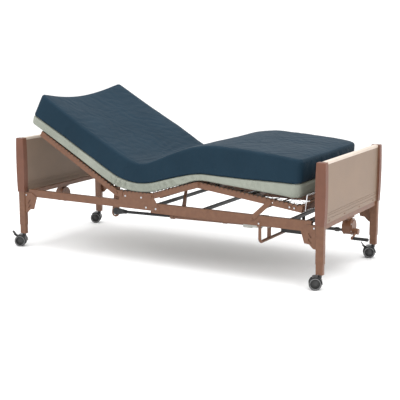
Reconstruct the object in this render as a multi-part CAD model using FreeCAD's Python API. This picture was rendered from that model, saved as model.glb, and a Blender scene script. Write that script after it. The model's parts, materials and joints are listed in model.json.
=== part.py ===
import FreeCAD, Part
import math
import os

# Adjustable home-care bed with split deck, foam mattress and crank-operated height.
# Millimetres. X runs from the head (-) to the foot (+), Z is up, Y = 0 is the centre line.
# The origin is on the floor, midway between the two bed ends. The bed is drawn at its
# lowest height with the back and the knees part way up.

V = FreeCAD.Vector
AXIS_Y = V(0, 1, 0)

# ---- overall size
LENGTH = 2235.0
WIDTH = 914.0
POST_TOP = 745.0

# ---- bed ends
POST_X = 50.0
POST_Y = 36.0
POST_WALL = 2.5
POST_BOTTOM = 152.0
POST_CENTRE_X = LENGTH / 2 - POST_X / 2
POST_CENTRE_Y = WIDTH / 2 - POST_Y / 2
TRIM_BOTTOM = 378.0
TRIM_BOW = 4.5
TRIM_SKIN = 3.0
PANEL_BOTTOM = 383.0
PANEL_THICK = 34.0
PANEL_SKIN = 5.0
PANEL_HALF_Y = POST_CENTRE_Y - POST_Y / 2
PANEL_X = POST_CENTRE_X
END_RAIL_TOP = 381.0
END_RAIL_BOTTOM = 352.0
END_RAIL_X = 28.0

# ---- legs, lead screws and cross shafts
LEG_GAP = 0.3
LEG_WALL = 2.5
LEG_BOTTOM = 90.0
LEG_TOP = 412.0
LEG_PLUG_TOP = 116.0
NUT_HEIGHT = 20.0
SCREW_R = 7.0
SCREW_BOTTOM = 166.0
CROSS_SHAFT_Z = 432.0
CROSS_SHAFT_R = 6.0
BEVEL_R = 9.0
RUNNING_GAP = 0.06

# ---- gearboxes, drive shaft and crank
DRIVE_Z = 265.0
GEARBOX_R = 50.0
GEARBOX_LENGTH = 56.0
GEARBOX_Z = 293.0
DRIVE_SHAFT_R = 8.0
DRIVE_TUBE_R = 10.5
CRANK_ARM_Y = -64.0
CRANK_ARM_Z = -30.0
GRIP_LENGTH = 96.0
GRIP_R = 11.0

# ---- casters
WHEEL_R = 38.0
WHEEL_WIDTH = 18.0
WHEEL_SPACING = 21.0
AXLE_R = 4.0
CASTER_TRAIL = 26.0
CASTER_YAW = 25.0
STEM_R = 5.5
HOOD_THICK = 3.0

# ---- side rails
RAIL_OUTER_Y = 445.0
RAIL_WIDTH = 25.0
RAIL_WALL = 2.0
RAIL_TOP = 398.0
HEAD_RAIL_HEIGHT = 48.0
FOOT_RAIL_HEIGHT = 62.0
RAIL_END_X = 1035.0
SPLICE_X = -60.0
SPLICE_PLATE = 4.0
MEMBER = 19.0
MEMBER_BOTTOM = 363.0

# ---- deck
DECK_Z = 441.0
DECK_DEPTH = 38.0
DECK_HALF = DECK_DEPTH / 2
DECK_TOP = DECK_Z + DECK_HALF
TUBE_WALL = 2.0
BACK_HINGE_X = -320.0
BACK_LENGTH = 690.0
BACK_ANGLE = 30.0
THIGH_HINGE_X = -60.0
THIGH_LENGTH = 354.0
THIGH_ANGLE = 17.0
LEVER_BAR = 60.0
CALF_LENGTH = 702.0
CALF_DROP_PER_DEGREE = 0.406
CALF_ANGLE = -CALF_DROP_PER_DEGREE * THIGH_ANGLE
PIN_R = 6.0
PLATE = 3.0
SIDE_GAP = 0.3

# ---- foot strut
STRUT_PIVOT = V(650.0, 0, 374.0)
STRUT_REACH = 495.0
STRUT_PIN_R = 5.0
STRUT_WIDTH = 30.0
STRUT_THICK = 5.0

# ---- head and knee actuators
HEAD_DRIVE_Y = -306.0
HEAD_CLEVIS = V(-416.0, HEAD_DRIVE_Y, 288.0)
HEAD_MOTOR = V(700.0, HEAD_DRIVE_Y, 314.0)
HEAD_ROD_LENGTH = 600.0
HEAD_TUBE_LENGTH = 694.0
KNEE_DRIVE_Y = -110.0
KNEE_CLEVIS = V(-20.0, KNEE_DRIVE_Y, 300.0)
KNEE_MOTOR = V(700.0, KNEE_DRIVE_Y, 300.0)
KNEE_ROD_LENGTH = 320.0
KNEE_TUBE_LENGTH = 520.0
PUSH_ROD_R = 9.5
OUTER_TUBE_R = 14.0
CLEVIS_R = 22.0
CLEVIS_PIN_R = 5.0
LEVER_THICK = 8.0
CRADLE_X = 700.0
CRADLE_Z = 233.0
CRADLE_ROD_R = 9.5
CRADLE_BEND = 28.0
MOTOR_REACH = 166.0
POST_HALF = 3.5
FORK_IN = 4.5
FORK_OUT = 9.5

# ---- mattress, measured above the deck's centre plane
MATTRESS_HALF_Y = 450.0
MATTRESS_BOTTOM = 27.0
MATTRESS_SEAM = 80.0
MATTRESS_TOP = 242.0
KNEE_SEAM = 76.0
KNEE_TOP = 262.0
FOOT_BOTTOM = 54.0
FOOT_SEAM = 130.0
FOOT_TOP = 290.0
MATTRESS_BACK_LENGTH = 816.0
MATTRESS_CALF_LENGTH = 690.0
MATTRESS_CORNER = 70.0
MATTRESS_SLIDE = 76.0
SEAM_GAP = 0.3
BACK_WEDGE = 41.0
SEAT_HEAD_WEDGE = 26.0
SEAT_FOOT_WEDGE = 17.0
THIGH_WEDGE = 19.0

NEAR_FAR = (("near", -1), ("far", 1))
HEAD_FOOT = (("head", -1), ("foot", 1))
CORNERS = [(end + "_" + side, sx, sy) for end, sx in HEAD_FOOT for side, sy in NEAR_FAR]


# ---- shape helpers

def box(x0, x1, y0, y1, z0, z1):
    return Part.makeBox(abs(x1 - x0), abs(y1 - y0), abs(z1 - z0),
                        V(min(x0, x1), min(y0, y1), min(z0, z1)))


def rod(start, end, radius):
    direction = end - start
    return Part.makeCylinder(radius, direction.Length, start, direction)


def fuse(shapes):
    joined = shapes[0].multiFuse(shapes[1:]) if len(shapes) > 1 else shapes[0]
    return joined.removeSplitter()


def prism_y(points, y0, y1):
    """Plate with an outline of (x, z) points, running from y0 to y1."""
    corners = [V(x, y0, z) for x, z in points]
    face = Part.Face(Part.makePolygon(corners + [corners[0]]))
    return face.extrude(V(0, y1 - y0, 0))


def link_plate(a, b, radius_a, radius_b, y0, y1):
    """Flat link in the XZ plane with a round end about each of two points."""
    along = V(b.x - a.x, 0, b.z - a.z)
    along.normalize()
    across = V(-along.z, 0, along.x)
    outline = []
    for centre, radius, sign in ((a, radius_a, 1), (b, radius_b, 1), (b, radius_b, -1), (a, radius_a, -1)):
        outline.append((centre.x + sign * radius * across.x, centre.z + sign * radius * across.z))
    discs = [rod(V(p.x, y0, p.z), V(p.x, y1, p.z), r) for p, r in ((a, radius_a), (b, radius_b))]
    return fuse([prism_y(outline, y0, y1)] + discs)


def slot_y(centre, length, width, angle, y0, y1):
    """Solid of a round-ended slot in the XZ plane, its length turned up by an angle."""
    half = length / 2 - width / 2
    step = V(half * math.cos(math.radians(angle)), 0, half * math.sin(math.radians(angle)))
    return link_plate(centre - step, centre + step, width / 2, width / 2, y0, y1)


def tube_x(x0, x1, y0, y1, z0, z1, wall):
    outer = box(x0, x1, y0, y1, z0, z1)
    low_y, high_y = min(y0, y1) + wall, max(y0, y1) - wall
    return outer.cut(box(x0 - 1, x1 + 1, low_y, high_y, z0 + wall, z1 - wall))


def post_tube(sx, sy, size_x, size_y, z0, z1, wall):
    cx, cy = sx * POST_CENTRE_X, sy * POST_CENTRE_Y
    outer = box(cx - size_x / 2, cx + size_x / 2, cy - size_y / 2, cy + size_y / 2, z0, z1)
    inner = box(cx - size_x / 2 + wall, cx + size_x / 2 - wall,
                cy - size_y / 2 + wall, cy + size_y / 2 - wall, z0 - 1, z1 + 1)
    return outer, inner


def raise_back(shape):
    """From the back section's own frame, hinge at the origin, to its place on the bed."""
    placed = shape.copy()
    placed.rotate(V(0, 0, 0), AXIS_Y, BACK_ANGLE)
    placed.translate(V(BACK_HINGE_X, 0, DECK_Z))
    return placed


def raise_thigh(shape):
    placed = shape.copy()
    placed.rotate(V(0, 0, 0), AXIS_Y, -THIGH_ANGLE)
    placed.translate(V(THIGH_HINGE_X, 0, DECK_Z))
    return placed


def knee_point():
    reach = math.radians(THIGH_ANGLE)
    return V(THIGH_HINGE_X + THIGH_LENGTH * math.cos(reach), 0, DECK_Z + THIGH_LENGTH * math.sin(reach))


def lower_calf(shape):
    placed = shape.copy()
    placed.rotate(V(0, 0, 0), AXIS_Y, -CALF_ANGLE)
    placed.translate(knee_point())
    return placed


def on_calf(x, z):
    turn = math.radians(CALF_ANGLE)
    knee = knee_point()
    along, up = V(math.cos(turn), 0, math.sin(turn)), V(-math.sin(turn), 0, math.cos(turn))
    return knee + along * x + up * z


# ---- bed ends

def outer_leg_posts():
    posts = []
    for name, sx, sy in CORNERS:
        outer, inner = post_tube(sx, sy, POST_X, POST_Y, POST_BOTTOM, POST_TOP - 12, POST_WALL)
        outer = outer.makeFillet(6.0, [e for e in outer.Edges if abs(e.tangentAt(0).z) > 0.99])
        shaft_hole = rod(V(sx * POST_CENTRE_X, 0, CROSS_SHAFT_Z),
                         V(sx * POST_CENTRE_X, sy * POST_CENTRE_Y, CROSS_SHAFT_Z),
                         CROSS_SHAFT_R + RUNNING_GAP)
        posts.append(outer.cut(inner).cut(shaft_hole))
    return posts


def bowed_outline(cx):
    """Side view of a moulded post trim: straight ends and two edges that bow outwards."""
    half = POST_X / 2 + TRIM_SKIN
    mid = (TRIM_BOTTOM + POST_TOP) / 2
    bow = half + TRIM_BOW
    low_left, top_left = V(cx - half, 0, TRIM_BOTTOM), V(cx - half, 0, POST_TOP)
    low_right, top_right = V(cx + half, 0, TRIM_BOTTOM), V(cx + half, 0, POST_TOP)
    edges = [
        Part.Arc(low_left, V(cx - bow, 0, mid), top_left).toShape(),
        Part.LineSegment(top_left, top_right).toShape(),
        Part.Arc(top_right, V(cx + bow, 0, mid), low_right).toShape(),
        Part.LineSegment(low_right, low_left).toShape(),
    ]
    return Part.Face(Part.Wire(edges))


def post_trims():
    """Moulded covers that slip over the upper part of each post, closed at the top."""
    trims = []
    for name, sx, sy in CORNERS:
        cx, cy = sx * POST_CENTRE_X, sy * POST_CENTRE_Y
        half_y = POST_Y / 2
        face = bowed_outline(cx)
        face.translate(V(0, cy - half_y, 0))
        body = face.extrude(V(0, POST_Y + TRIM_SKIN, 0))
        if sy < 0:
            body.translate(V(0, -TRIM_SKIN, 0))
        body = body.makeFillet(5.0, [e for e in body.Edges if abs(e.CenterOfMass.z - POST_TOP) < 0.1])
        hollow = box(cx - POST_X / 2, cx + POST_X / 2, cy - half_y - 1, cy + half_y + 1,
                     TRIM_BOTTOM - 1, POST_TOP - 12)
        if sy < 0:
            hollow = hollow.common(box(cx - POST_X, cx + POST_X, cy - half_y, cy + POST_Y, 0, POST_TOP))
        else:
            hollow = hollow.common(box(cx - POST_X, cx + POST_X, cy - POST_Y, cy + half_y, 0, POST_TOP))
        trims.append(body.cut(hollow))
    return trims


def end_panel(sx):
    """Hollow moulded panel between two posts, with moulded grooves near its lower edge."""
    x0, x1 = sx * PANEL_X - PANEL_THICK / 2, sx * PANEL_X + PANEL_THICK / 2
    body = box(x0, x1, -PANEL_HALF_Y, PANEL_HALF_Y, PANEL_BOTTOM, POST_TOP)
    top_edges = [e for e in body.Edges
                 if abs(e.CenterOfMass.z - POST_TOP) < 0.1 and abs(e.CenterOfMass.y) < 1]
    body = body.makeFillet(9.0, top_edges)
    cavity = box(x0 + PANEL_SKIN, x1 - PANEL_SKIN, -PANEL_HALF_Y - 1, PANEL_HALF_Y + 1,
                 PANEL_BOTTOM - 1, POST_TOP - 60)
    body = body.cut(cavity)
    reach = PANEL_HALF_Y + 1
    for level in (408.0, 428.0, 440.0):
        for face_x in (x0, x1):
            body = body.cut(box(face_x - 1.5, face_x + 1.5, -reach, reach, level, level + 4))
    return body


def end_lower_rails():
    """Cross tube below each panel, with a window for the gearbox neck."""
    rails = []
    for name, sx in HEAD_FOOT:
        x0, x1 = sx * PANEL_X - END_RAIL_X / 2, sx * PANEL_X + END_RAIL_X / 2
        rail = box(x0, x1, -PANEL_HALF_Y, PANEL_HALF_Y, END_RAIL_BOTTOM, END_RAIL_TOP)
        bore = box(x0 + 2, x1 - 2, -PANEL_HALF_Y - 1, PANEL_HALF_Y + 1, END_RAIL_BOTTOM + 2, END_RAIL_TOP - 2)
        window = box(sx * PANEL_X - 11.5, sx * PANEL_X + 11.5, -31, 31, END_RAIL_BOTTOM - 1, END_RAIL_TOP + 1)
        rails.append(rail.cut(bore).cut(window))
    return rails


def corner_brackets():
    """Gusset plate from each rail end to its post, with two hook slots over a backing plate."""
    plates = []
    inner = POST_CENTRE_X - POST_X / 2
    top = TRIM_BOTTOM - 1
    outline = [(968, 347), (994, 266), (1026, 262), (1050, 238), (inner, 236), (inner, top), (1010, top)]
    for name, sx, sy in CORNERS:
        points = [(sx * x, z) for x, z in outline]
        plate = prism_y(points, sy * (RAIL_OUTER_Y + 4), sy * RAIL_OUTER_Y)
        flange = box(sx * (inner - 4), sx * inner, sy * (RAIL_OUTER_Y + 4), sy * (RAIL_OUTER_Y - 22),
                     240, top)
        for slot_z in (282.0, 316.0):
            y0, y1 = sy * (RAIL_OUTER_Y + 6), sy * (RAIL_OUTER_Y - 2)
            plate = plate.cut(slot_y(V(sx * 1030, 0, slot_z), 34, 11, sx * -55, y0, y1))
        backing = box(sx * 1014, sx * inner, sy * RAIL_OUTER_Y, sy * (RAIL_OUTER_Y - 3), 264, 333)
        plates.append(fuse([plate, flange, backing]))
    return plates


# ---- height drive

def gearbox_housings():
    """Round gearbox below each panel, with a neck up to the cross shaft."""
    housings = []
    for name, sx in HEAD_FOOT:
        x_in = sx * (PANEL_X - GEARBOX_LENGTH / 2)
        x_out = sx * (PANEL_X + GEARBOX_LENGTH / 2)
        drum = rod(V(x_in, 0, GEARBOX_Z), V(x_out, 0, GEARBOX_Z), GEARBOX_R)
        cover = rod(V(x_out, 0, GEARBOX_Z), V(x_out + sx * 5, 0, GEARBOX_Z), GEARBOX_R - 9)
        boss = rod(V(x_out, 0, DRIVE_Z), V(x_out + sx * 10, 0, DRIVE_Z), 17)
        neck = box(sx * PANEL_X - 11, sx * PANEL_X + 11, -30, 30, GEARBOX_Z, CROSS_SHAFT_Z + 16)
        flange = box(sx * PANEL_X - 17, sx * PANEL_X + 17, -46, 46, END_RAIL_BOTTOM - 7, END_RAIL_BOTTOM)
        body = fuse([drum, cover, boss, neck, flange])
        drive_bore = rod(V(x_in - sx, 0, DRIVE_Z), V(x_out + sx * 11, 0, DRIVE_Z),
                         DRIVE_SHAFT_R + RUNNING_GAP)
        cross_bore = rod(V(sx * PANEL_X, -40, CROSS_SHAFT_Z), V(sx * PANEL_X, 40, CROSS_SHAFT_Z),
                         CROSS_SHAFT_R + RUNNING_GAP)
        housings.append(body.cut(drive_bore).cut(cross_bore))
    return housings


def drive_shaft():
    """Telescoping shaft under the deck that carries the crank's turn to the head end."""
    x_head = -(PANEL_X + 20)
    x_foot = PANEL_X - 10
    core = rod(V(x_head, 0, DRIVE_Z), V(x_foot, 0, DRIVE_Z), DRIVE_SHAFT_R)
    tube = rod(V(-300, 0, DRIVE_Z), V(PANEL_X - 60, 0, DRIVE_Z), DRIVE_TUBE_R)
    collars = [rod(V(x, 0, DRIVE_Z), V(x + 22, 0, DRIVE_Z), 14) for x in (-1040, -310, 1005)]
    return fuse([core, tube] + collars)


def cross_shaft(sx):
    x = sx * PANEL_X
    reach = POST_CENTRE_Y - 2
    shaft = rod(V(x, -reach, CROSS_SHAFT_Z), V(x, reach, CROSS_SHAFT_Z), CROSS_SHAFT_R)
    bevels = [rod(V(x, side * (reach - 6), CROSS_SHAFT_Z), V(x, side * reach, CROSS_SHAFT_Z), BEVEL_R)
              for name, side in NEAR_FAR]
    return fuse([shaft] + bevels)


def lead_screw(sx, sy):
    x, y = sx * POST_CENTRE_X, sy * POST_CENTRE_Y
    top = CROSS_SHAFT_Z - BEVEL_R - 1
    screw = rod(V(x, y, SCREW_BOTTOM), V(x, y, top), SCREW_R)
    bevel = rod(V(x, y, top - 5), V(x, y, top), BEVEL_R)
    return fuse([screw, bevel])


def inner_leg(sx, sy):
    """Leg tube that slides in its post, with a screw nut at the top and a stem plug below."""
    gap = POST_WALL + LEG_GAP
    outer, inner = post_tube(sx, sy, POST_X - 2 * gap, POST_Y - 2 * gap, LEG_BOTTOM, LEG_TOP, LEG_WALL)
    outer = outer.makeFillet(3.5, [e for e in outer.Edges if abs(e.tangentAt(0).z) > 0.99])
    x, y = sx * POST_CENTRE_X, sy * POST_CENTRE_Y
    bore = inner.common(box(x - 50, x + 50, y - 50, y + 50, LEG_PLUG_TOP, LEG_TOP - NUT_HEIGHT))
    screw_bore = rod(V(x, y, LEG_TOP - NUT_HEIGHT - 1), V(x, y, LEG_TOP + 1), SCREW_R + RUNNING_GAP)
    stem_bore = rod(V(x, y, LEG_BOTTOM - 1), V(x, y, LEG_PLUG_TOP + 1), STEM_R + RUNNING_GAP)
    return outer.cut(bore).cut(screw_bore).cut(stem_bore)


def crank():
    """Hub on the foot gearbox's input shaft and an arm that reaches the grip's spindle."""
    x0 = PANEL_X + GEARBOX_LENGTH / 2 + 11
    hub = rod(V(x0, 0, DRIVE_Z), V(x0 + 24, 0, DRIVE_Z), 19)
    stub = rod(V(PANEL_X - 8, 0, DRIVE_Z), V(x0 + 2, 0, DRIVE_Z), DRIVE_SHAFT_R)
    arm_x = x0 + 9
    start, end = V(arm_x, 0, DRIVE_Z), V(arm_x, CRANK_ARM_Y, DRIVE_Z + CRANK_ARM_Z)
    arm = rod(start, end, 7)
    eye = rod(end - V(7, 0, 0), end + V(7, 0, 0), 10)
    spindle = rod(end, end + V(1 + GRIP_LENGTH, 0, 0), 4)
    return fuse([hub, stub, arm, eye, spindle])


def crank_grip():
    x0 = PANEL_X + GEARBOX_LENGTH / 2 + 20 + 7.5
    start = V(x0, CRANK_ARM_Y, DRIVE_Z + CRANK_ARM_Z)
    body = rod(start, start + V(GRIP_LENGTH, 0, 0), GRIP_R)
    body = body.makeFillet(4.0, [e for e in body.Edges if e.Curve.TypeId == "Part::GeomCircle"])
    return body.cut(rod(start - V(1, 0, 0), start + V(GRIP_LENGTH - 4, 0, 0), 4 + RUNNING_GAP))


# ---- casters

def caster_frame(shape, sx, sy):
    """Turn a caster drawn about a stem on the Z axis, trailing to -X, to its corner."""
    placed = shape.copy()
    placed.rotate(V(0, 0, 0), V(0, 0, 1), CASTER_YAW)
    placed.translate(V(sx * POST_CENTRE_X, sy * POST_CENTRE_Y, 0))
    return placed


def caster_swivel(sx, sy):
    """Stem, web between the wheels, hood over them and the axle."""
    axle_x = -CASTER_TRAIL
    web_half = WHEEL_SPACING / 2 - 1.5
    stem = rod(V(0, 0, 70), V(0, 0, LEG_BOTTOM + 22), STEM_R)
    collar = rod(V(0, 0, 71.5), V(0, 0, LEG_BOTTOM - 1), 12)
    web = rod(V(axle_x, -web_half, WHEEL_R), V(axle_x, web_half, WHEEL_R), 30)
    neck = box(axle_x, 8, -web_half, web_half, WHEEL_R, 74)
    half_hood = WHEEL_SPACING / 2 + WHEEL_WIDTH + 1
    ring = rod(V(axle_x, -half_hood, WHEEL_R), V(axle_x, half_hood, WHEEL_R), WHEEL_R + 1.5 + HOOD_THICK)
    ring = ring.cut(rod(V(axle_x, -half_hood, WHEEL_R), V(axle_x, half_hood, WHEEL_R), WHEEL_R + 1.5))
    keep = prism_y([(axle_x, WHEEL_R), (axle_x - 30, 100), (60, 100), (60, 34)], -half_hood, half_hood)
    spine = rod(V(axle_x, -web_half, WHEEL_R), V(axle_x, web_half, WHEEL_R), WHEEL_R + 3).common(keep)
    axle_reach = WHEEL_SPACING / 2 + WHEEL_WIDTH - 2
    axle = rod(V(axle_x, -axle_reach, WHEEL_R), V(axle_x, axle_reach, WHEEL_R), AXLE_R)
    pin = rod(V(axle_x - 26, -7, 70), V(axle_x - 26, 7, 70), 3)
    ear_outline = [(axle_x, 60), (axle_x, 80), (axle_x - 26, 74), (axle_x - 30, 66), (axle_x - 18, 60)]
    ear = prism_y(ear_outline, -3, 3)
    body = fuse([stem, collar, web, neck, ring.common(keep), spine, axle, pin, ear])
    return caster_frame(body, sx, sy)


def caster_wheels(sx, sy):
    """Two wheels that turn on one axle."""
    wheels = []
    for name, side in NEAR_FAR:
        y0 = side * WHEEL_SPACING / 2
        y1 = side * (WHEEL_SPACING / 2 + WHEEL_WIDTH)
        tread = rod(V(-CASTER_TRAIL, y0, WHEEL_R), V(-CASTER_TRAIL, y1, WHEEL_R), WHEEL_R)
        tread = tread.makeFillet(3.0, [e for e in tread.Edges if e.Curve.TypeId == "Part::GeomCircle"])
        dish = rod(V(-CASTER_TRAIL, y1 - side * 3, WHEEL_R), V(-CASTER_TRAIL, y1 + side, WHEEL_R), 27)
        cap = rod(V(-CASTER_TRAIL, y1 - side * 3.5, WHEEL_R), V(-CASTER_TRAIL, y1 - side * 0.5, WHEEL_R), 12)
        bore = rod(V(-CASTER_TRAIL, y0 - side, WHEEL_R),
                   V(-CASTER_TRAIL, y1 - side * 1.8, WHEEL_R), AXLE_R + RUNNING_GAP)
        wheels.append(caster_frame(tread.cut(dish).fuse(cap).cut(bore), sx, sy))
    return wheels


def brake_lever(sx, sy):
    """Foot pedal behind the wheels, on a pin through the swivel's ear."""
    pivot = V(-CASTER_TRAIL - 26, 0, 70)
    cheeks = []
    for side in (-1, 1):
        y0, y1 = side * 3.4, side * 7.4
        cheeks.append(link_plate(pivot, pivot + V(-14, 0, 10), 7, 5, y0, y1))
    pedal = prism_y([(-62, 74), (-68, 79), (-80, 102), (-76, 103), (-60, 84)], -13, 13)
    lever = fuse(cheeks + [pedal])
    lever = lever.cut(rod(pivot - V(0, 10, 0), pivot + V(0, 10, 0), 3 + RUNNING_GAP))
    lever = lever.cut(rod(V(-CASTER_TRAIL, -40, WHEEL_R), V(-CASTER_TRAIL, 40, WHEEL_R), WHEEL_R + 2.5))
    return caster_frame(lever, sx, sy)


# ---- fixed deck frame

def side_rails(x0, x1, height):
    rails = []
    for name, sy in NEAR_FAR:
        y0, y1 = sy * RAIL_OUTER_Y, sy * (RAIL_OUTER_Y - RAIL_WIDTH)
        rails.append(tube_x(x0, x1, y0, y1, RAIL_TOP - height, RAIL_TOP, RAIL_WALL))
    return rails


def head_side_rails():
    """Head half of the frame: two rails with welded joining plates, and a tube across the end."""
    inner = RAIL_OUTER_Y - RAIL_WIDTH
    x0 = -RAIL_END_X + 6
    parts = side_rails(-RAIL_END_X, SPLICE_X, HEAD_RAIL_HEIGHT)
    for name, sy in NEAR_FAR:
        parts.append(box(-130, 60, sy * inner, sy * (inner - SPLICE_PLATE), RAIL_TOP - 46, RAIL_TOP - 3))
    outer = box(x0, x0 + 25, -inner, inner, RAIL_TOP - 27, RAIL_TOP - 2)
    bore = box(x0 + 2, x0 + 23, -inner, inner, RAIL_TOP - 25, RAIL_TOP - 4)
    return fuse(parts + [outer.cut(bore)])


def foot_side_rails():
    bolt = V(STRUT_PIVOT.x, 0, STRUT_PIVOT.z)
    rails = []
    for rail in side_rails(SPLICE_X, RAIL_END_X, FOOT_RAIL_HEIGHT):
        hole = rod(bolt - V(0, WIDTH, 0), bolt + V(0, WIDTH, 0), PIN_R + RUNNING_GAP)
        rails.append(rail.cut(hole))
    return rails


def rail_cross_members():
    """Square tubes from rail to rail, below the deck; the first one meets the joining plates."""
    inner = RAIL_OUTER_Y - RAIL_WIDTH
    half, z0 = MEMBER / 2, MEMBER_BOTTOM
    members = []
    for x, reach in ((-62.0, inner - SPLICE_PLATE), (270.0, inner), (866.0, inner), (985.0, inner)):
        outer = box(x - half, x + half, -reach, reach, z0, z0 + MEMBER)
        bore = box(x - half + 2, x + half - 2, -reach - 1, reach + 1, z0 + 2, z0 + MEMBER - 2)
        members.append(outer.cut(bore))
    return members


def seat_frame():
    """Fixed seat section: two channels on the rails, two cross tubes and the hinge plates."""
    parts = []
    x0, x1 = BACK_HINGE_X + DECK_HALF + 2, THIGH_HINGE_X - DECK_HALF - 2
    inner = RAIL_OUTER_Y - RAIL_WIDTH
    for name, sy in NEAR_FAR:
        parts.append(tube_x(x0, x1, sy * RAIL_OUTER_Y, sy * inner, RAIL_TOP, DECK_TOP, TUBE_WALL))
        for face, side in ((RAIL_OUTER_Y, 1), (inner, -1)):
            y0, y1 = sy * face, sy * (face + side * PLATE)
            back = box(BACK_HINGE_X, x0 + 26, y0, y1, DECK_Z - DECK_HALF, DECK_TOP)
            disc = rod(V(BACK_HINGE_X, y0, DECK_Z), V(BACK_HINGE_X, y1, DECK_Z), DECK_HALF)
            lower = RAIL_TOP - 46 if side == 1 else DECK_Z - DECK_HALF
            front = box(x1 - 22, THIGH_HINGE_X, y0, y1, lower, DECK_TOP)
            rounded = rod(V(THIGH_HINGE_X, y0, DECK_Z), V(THIGH_HINGE_X, y1, DECK_Z), DECK_HALF)
            parts += [back, disc, front, rounded]
            if side == 1:
                parts.append(prism_y([(THIGH_HINGE_X, DECK_Z), (THIGH_HINGE_X + DECK_HALF, DECK_Z),
                                      (THIGH_HINGE_X + 62, RAIL_TOP - 20), (THIGH_HINGE_X + 62, RAIL_TOP - 46),
                                      (THIGH_HINGE_X, RAIL_TOP - 46)], y0, y1))
    for x in (x0 + 14, x1 - 14):
        parts.append(box(x - 10, x + 10, -inner - 1, inner + 1, DECK_Z - 18, DECK_Z + 2))
    body = fuse(parts)
    for hinge_x in (BACK_HINGE_X, THIGH_HINGE_X):
        centre = V(hinge_x, 0, DECK_Z)
        across = V(0, WIDTH, 0)
        body = body.cut(rod(centre - across, centre + across, PIN_R + RUNNING_GAP))
    return body


def frame_fasteners():
    """Bolt heads on the seat channels, the splice, the end brackets and the cradle's tabs."""
    bolts = []
    places = [(-250, 428), (-130, 428), (-92, RAIL_TOP - 30), (-20, RAIL_TOP - 32)]
    for name, sy in NEAR_FAR:
        for x, z in places:
            face = RAIL_OUTER_Y if x < -100 else RAIL_OUTER_Y + PLATE
            bolts.append(rod(V(x, sy * face, z), V(x, sy * (face + 3), z), 6))
        for x in (-1055, 1055):
            bolts.append(rod(V(x, sy * (RAIL_OUTER_Y + 4), 360), V(x, sy * (RAIL_OUTER_Y + 7), 360), 5))
        tab_y = RAIL_OUTER_Y + 3
        bolts.append(rod(V(CRADLE_X, sy * tab_y, 350), V(CRADLE_X, sy * (tab_y + 3), 350), 5))
    return bolts


# ---- deck sections that move

def deck_side_tube(x0, x1, width, sy, round_at):
    """Side tube of a deck section with a round, solid hinge end about x = round_at."""
    centre = RAIL_OUTER_Y - RAIL_WIDTH / 2
    y0, y1 = sy * (centre + width / 2), sy * (centre - width / 2)
    tube = tube_x(x0, x1, y0, y1, -DECK_HALF, DECK_HALF, TUBE_WALL)
    nose = rod(V(round_at, y0, 0), V(round_at, y1, 0), DECK_HALF)
    return tube, nose


def hinge_pins(x):
    """A headed pin on each side, through the plates and the tube between them."""
    pins = []
    for name, sy in NEAR_FAR:
        y_in = sy * (RAIL_OUTER_Y - RAIL_WIDTH - PLATE - 2)
        y_out = sy * (RAIL_OUTER_Y + PLATE + 1)
        pins.append(rod(V(x, y_in, 0), V(x, y_out, 0), PIN_R))
        pins.append(rod(V(x, y_out, 0), V(x, y_out + sy * 3.5, 0), PIN_R + 4))
    return pins


def back_frame():
    """Back section: two side tubes, a head bar, cross bars and the actuator's lever."""
    width = RAIL_WIDTH - 2 * SIDE_GAP
    parts = []
    for name, sy in NEAR_FAR:
        parts += deck_side_tube(-BACK_LENGTH, 0, width, sy, 0)
    reach = RAIL_OUTER_Y - RAIL_WIDTH + SIDE_GAP + 1
    parts.append(box(-BACK_LENGTH, -BACK_LENGTH + 25, -reach, reach, -DECK_HALF, DECK_HALF))
    parts.append(box(-400, -370, -reach, reach, -DECK_HALF, -DECK_HALF + 8))
    parts.append(rod(V(-92, -reach, -4), V(-92, reach, -4), 11))
    parts += hinge_pins(0)
    frame = raise_back(fuse(parts))
    turn = math.radians(BACK_ANGLE)
    bar = V(BACK_HINGE_X - 92 * math.cos(turn) - 4 * math.sin(turn), 0,
            DECK_Z + 92 * math.sin(turn) - 4 * math.cos(turn))
    y0, y1 = HEAD_DRIVE_Y - LEVER_THICK / 2, HEAD_DRIVE_Y + LEVER_THICK / 2
    lever = link_plate(bar, HEAD_CLEVIS + V(-8, 0, -11), 18, 27, y0, y1)
    slot = slot_y(HEAD_CLEVIS + V(-8, 0, -11), 39, 18, 54, y0 - 1, y1 + 1)
    return frame.fuse(lever).removeSplitter().cut(slot)


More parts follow.
